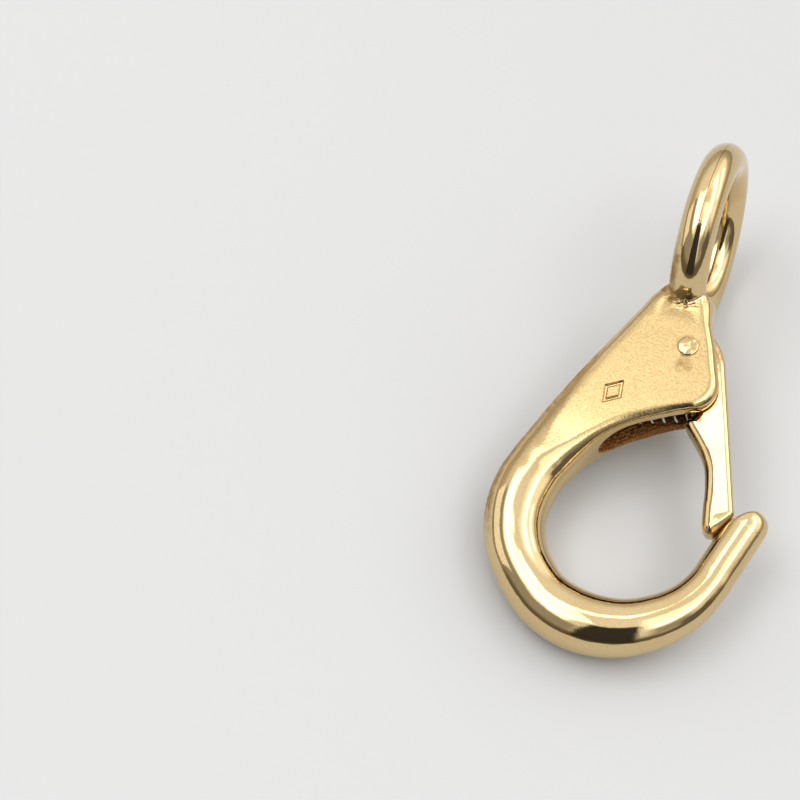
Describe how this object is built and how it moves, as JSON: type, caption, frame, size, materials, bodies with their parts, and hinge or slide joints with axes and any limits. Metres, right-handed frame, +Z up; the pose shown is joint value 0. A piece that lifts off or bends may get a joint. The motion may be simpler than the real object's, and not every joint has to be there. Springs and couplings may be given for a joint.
{
  "type": "snap hook",
  "caption": "Cast brass snap hook with a rigid round eye, a flat slotted head, a round bend and a sprung gate on a rivet.",
  "frame": {"origin": "centre of the base of the bounding box, on the surface the hook lies on", "axes": "+Y along the hook from the bend to the eye, +X towards the gate, +Z up out of the hook's front face; the hook lies as it comes to rest, on its eye and its bend"},
  "size_m": [0.0426, 0.0898, 0.0323],
  "materials": {
    "cast_brass": "polished cast brass, as-cast and darker inside the slot",
    "gate_brass": "polished cast brass",
    "rivet_brass": "peened brass wire",
    "spring_steel": "bright drawn spring wire"
  },
  "bodies": {
    "hook": {"body": "cast_brass", "rivet": "rivet_brass", "spring": "spring_steel"},
    "lever": {"gate": "gate_brass"}
  },
  "joints": [
    {"name": "gate_hinge", "type": "hinge", "parent": "hook", "child": "lever", "pos_m": [0.00152, 0.00609, 0.01281], "axis": [0.0946, 0.159, -0.9827], "range_deg": [0, 28], "stiffness_Nm_per_rad": 0.2, "springref_deg": -28.65, "deforming": ["spring"]}
  ]
}
